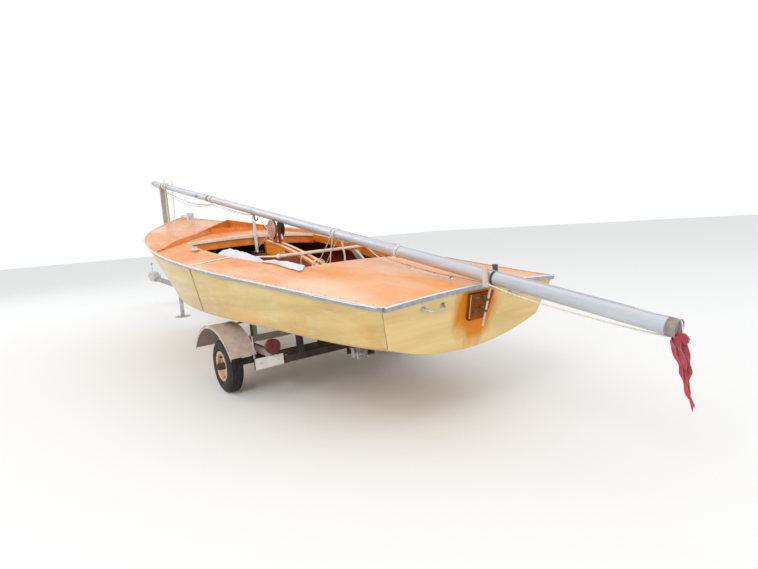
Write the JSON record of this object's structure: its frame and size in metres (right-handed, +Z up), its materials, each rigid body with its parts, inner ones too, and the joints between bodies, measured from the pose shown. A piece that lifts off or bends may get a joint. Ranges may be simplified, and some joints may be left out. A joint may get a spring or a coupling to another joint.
{
  "type": "sailing dinghy on a boat trailer",
  "caption": "Varnished plywood sailing dinghy with open cockpit and unstepped mast, strapped on a two-wheel trailer that stands on its jack.",
  "frame": {"origin": "on the ground, under the middle of the overall length, on the boat's centreline", "axes": "+X to the bow, +Y to port, +Z up"},
  "size_m": [9.43, 2.0742, 2.223],
  "materials": {
    "black_plastic": "matt",
    "brown_timber": "varnish",
    "cream_edge": "satin",
    "dark_steel": "dull rusty",
    "deck_varnish": "gloss varnish",
    "fender_paint": "weathered",
    "galvanised": "dull",
    "grey_steel": "dull",
    "grey_wood": "weathered",
    "lamp_red": "gloss",
    "mast_aluminium": "satin",
    "orange_timber": "gloss varnish",
    "pale_ply": "varnished",
    "plate_white": "satin",
    "rail_aluminium": "satin",
    "red_cloth": "soft",
    "red_wood": "worn",
    "rim_paint": "worn",
    "sailcloth": "soft",
    "tyre_rubber": "matt",
    "white_metal": "satin"
  },
  "bodies": {
    "boat_and_trailer": {"axle": "dark_steel", "bottom": "pale_ply", "bow_bracket": "white_metal", "bunks": "grey_wood", "carlins": "orange_timber", "centreboard": "grey_steel", "chine_logs": "brown_timber", "cockpit_beams": "orange_timber", "cockpit_nosing": "cream_edge", "coupler": "white_metal", "deck_aft": "deck_varnish", "deck_fore": "deck_varnish", "fairleads": "white_metal", "fender_brackets": "dark_steel", "fender_port": "fender_paint", "fender_starboard": "fender_paint", "floorboards": "brown_timber", "frames": "brown_timber", "gudgeons": "galvanised", "hoist_reel": "red_wood", "jack_tube": "galvanised", "keel_rollers": "black_plastic", "keelson": "brown_timber", "mast": "mast_aluminium", "mast_crutch": "white_metal", "mast_fittings": "grey_wood", "mast_post": "grey_wood", "mast_prop": "white_metal", "mast_step": "brown_timber", "number_plate": "plate_white", "partner_beam": "orange_timber", "rag": "red_cloth", "rail_port": "rail_aluminium", "rail_starboard": "rail_aluminium", "rail_transom": "rail_aluminium", "reel_brake": "black_plastic", "rudder_pad": "brown_timber", "sail_bundle": "sailcloth", "seam_strips": "rail_aluminium", "side_port": "pale_ply", "side_starboard": "pale_ply", "splash_rail": "orange_timber", "springs": "dark_steel", "stem": "pale_ply", "tail_lamps": "lamp_red", "tiller": "cream_edge", "tongue_beam": "grey_steel", "trailer_frame": "grey_steel", "transom": "pale_ply", "transom_handles": "galvanised", "trunk": "brown_timber", "trunk_caps": "orange_timber"},
    "wheel_port": {"rim_port": "rim_paint", "tyre_port": "tyre_rubber"},
    "wheel_starboard": {"rim_starboard": "rim_paint", "tyre_starboard": "tyre_rubber"},
    "jack_leg": {"jack_leg": "galvanised"}
  },
  "joints": [
    {"name": "wheel_port_spin", "type": "hinge", "parent": "boat_and_trailer", "child": "wheel_port", "pos_m": [-1.82, 0.838, 0.205], "axis": [0, 1, 0], "continuous": true},
    {"name": "wheel_starboard_spin", "type": "hinge", "parent": "boat_and_trailer", "child": "wheel_starboard", "pos_m": [-1.82, -0.838, 0.205], "axis": [0, 1, 0], "continuous": true},
    {"name": "jack_slide", "type": "slide", "parent": "boat_and_trailer", "child": "jack_leg", "axis": [0, 0, 1], "range_m": [-0.06, 0.13]}
  ]
}
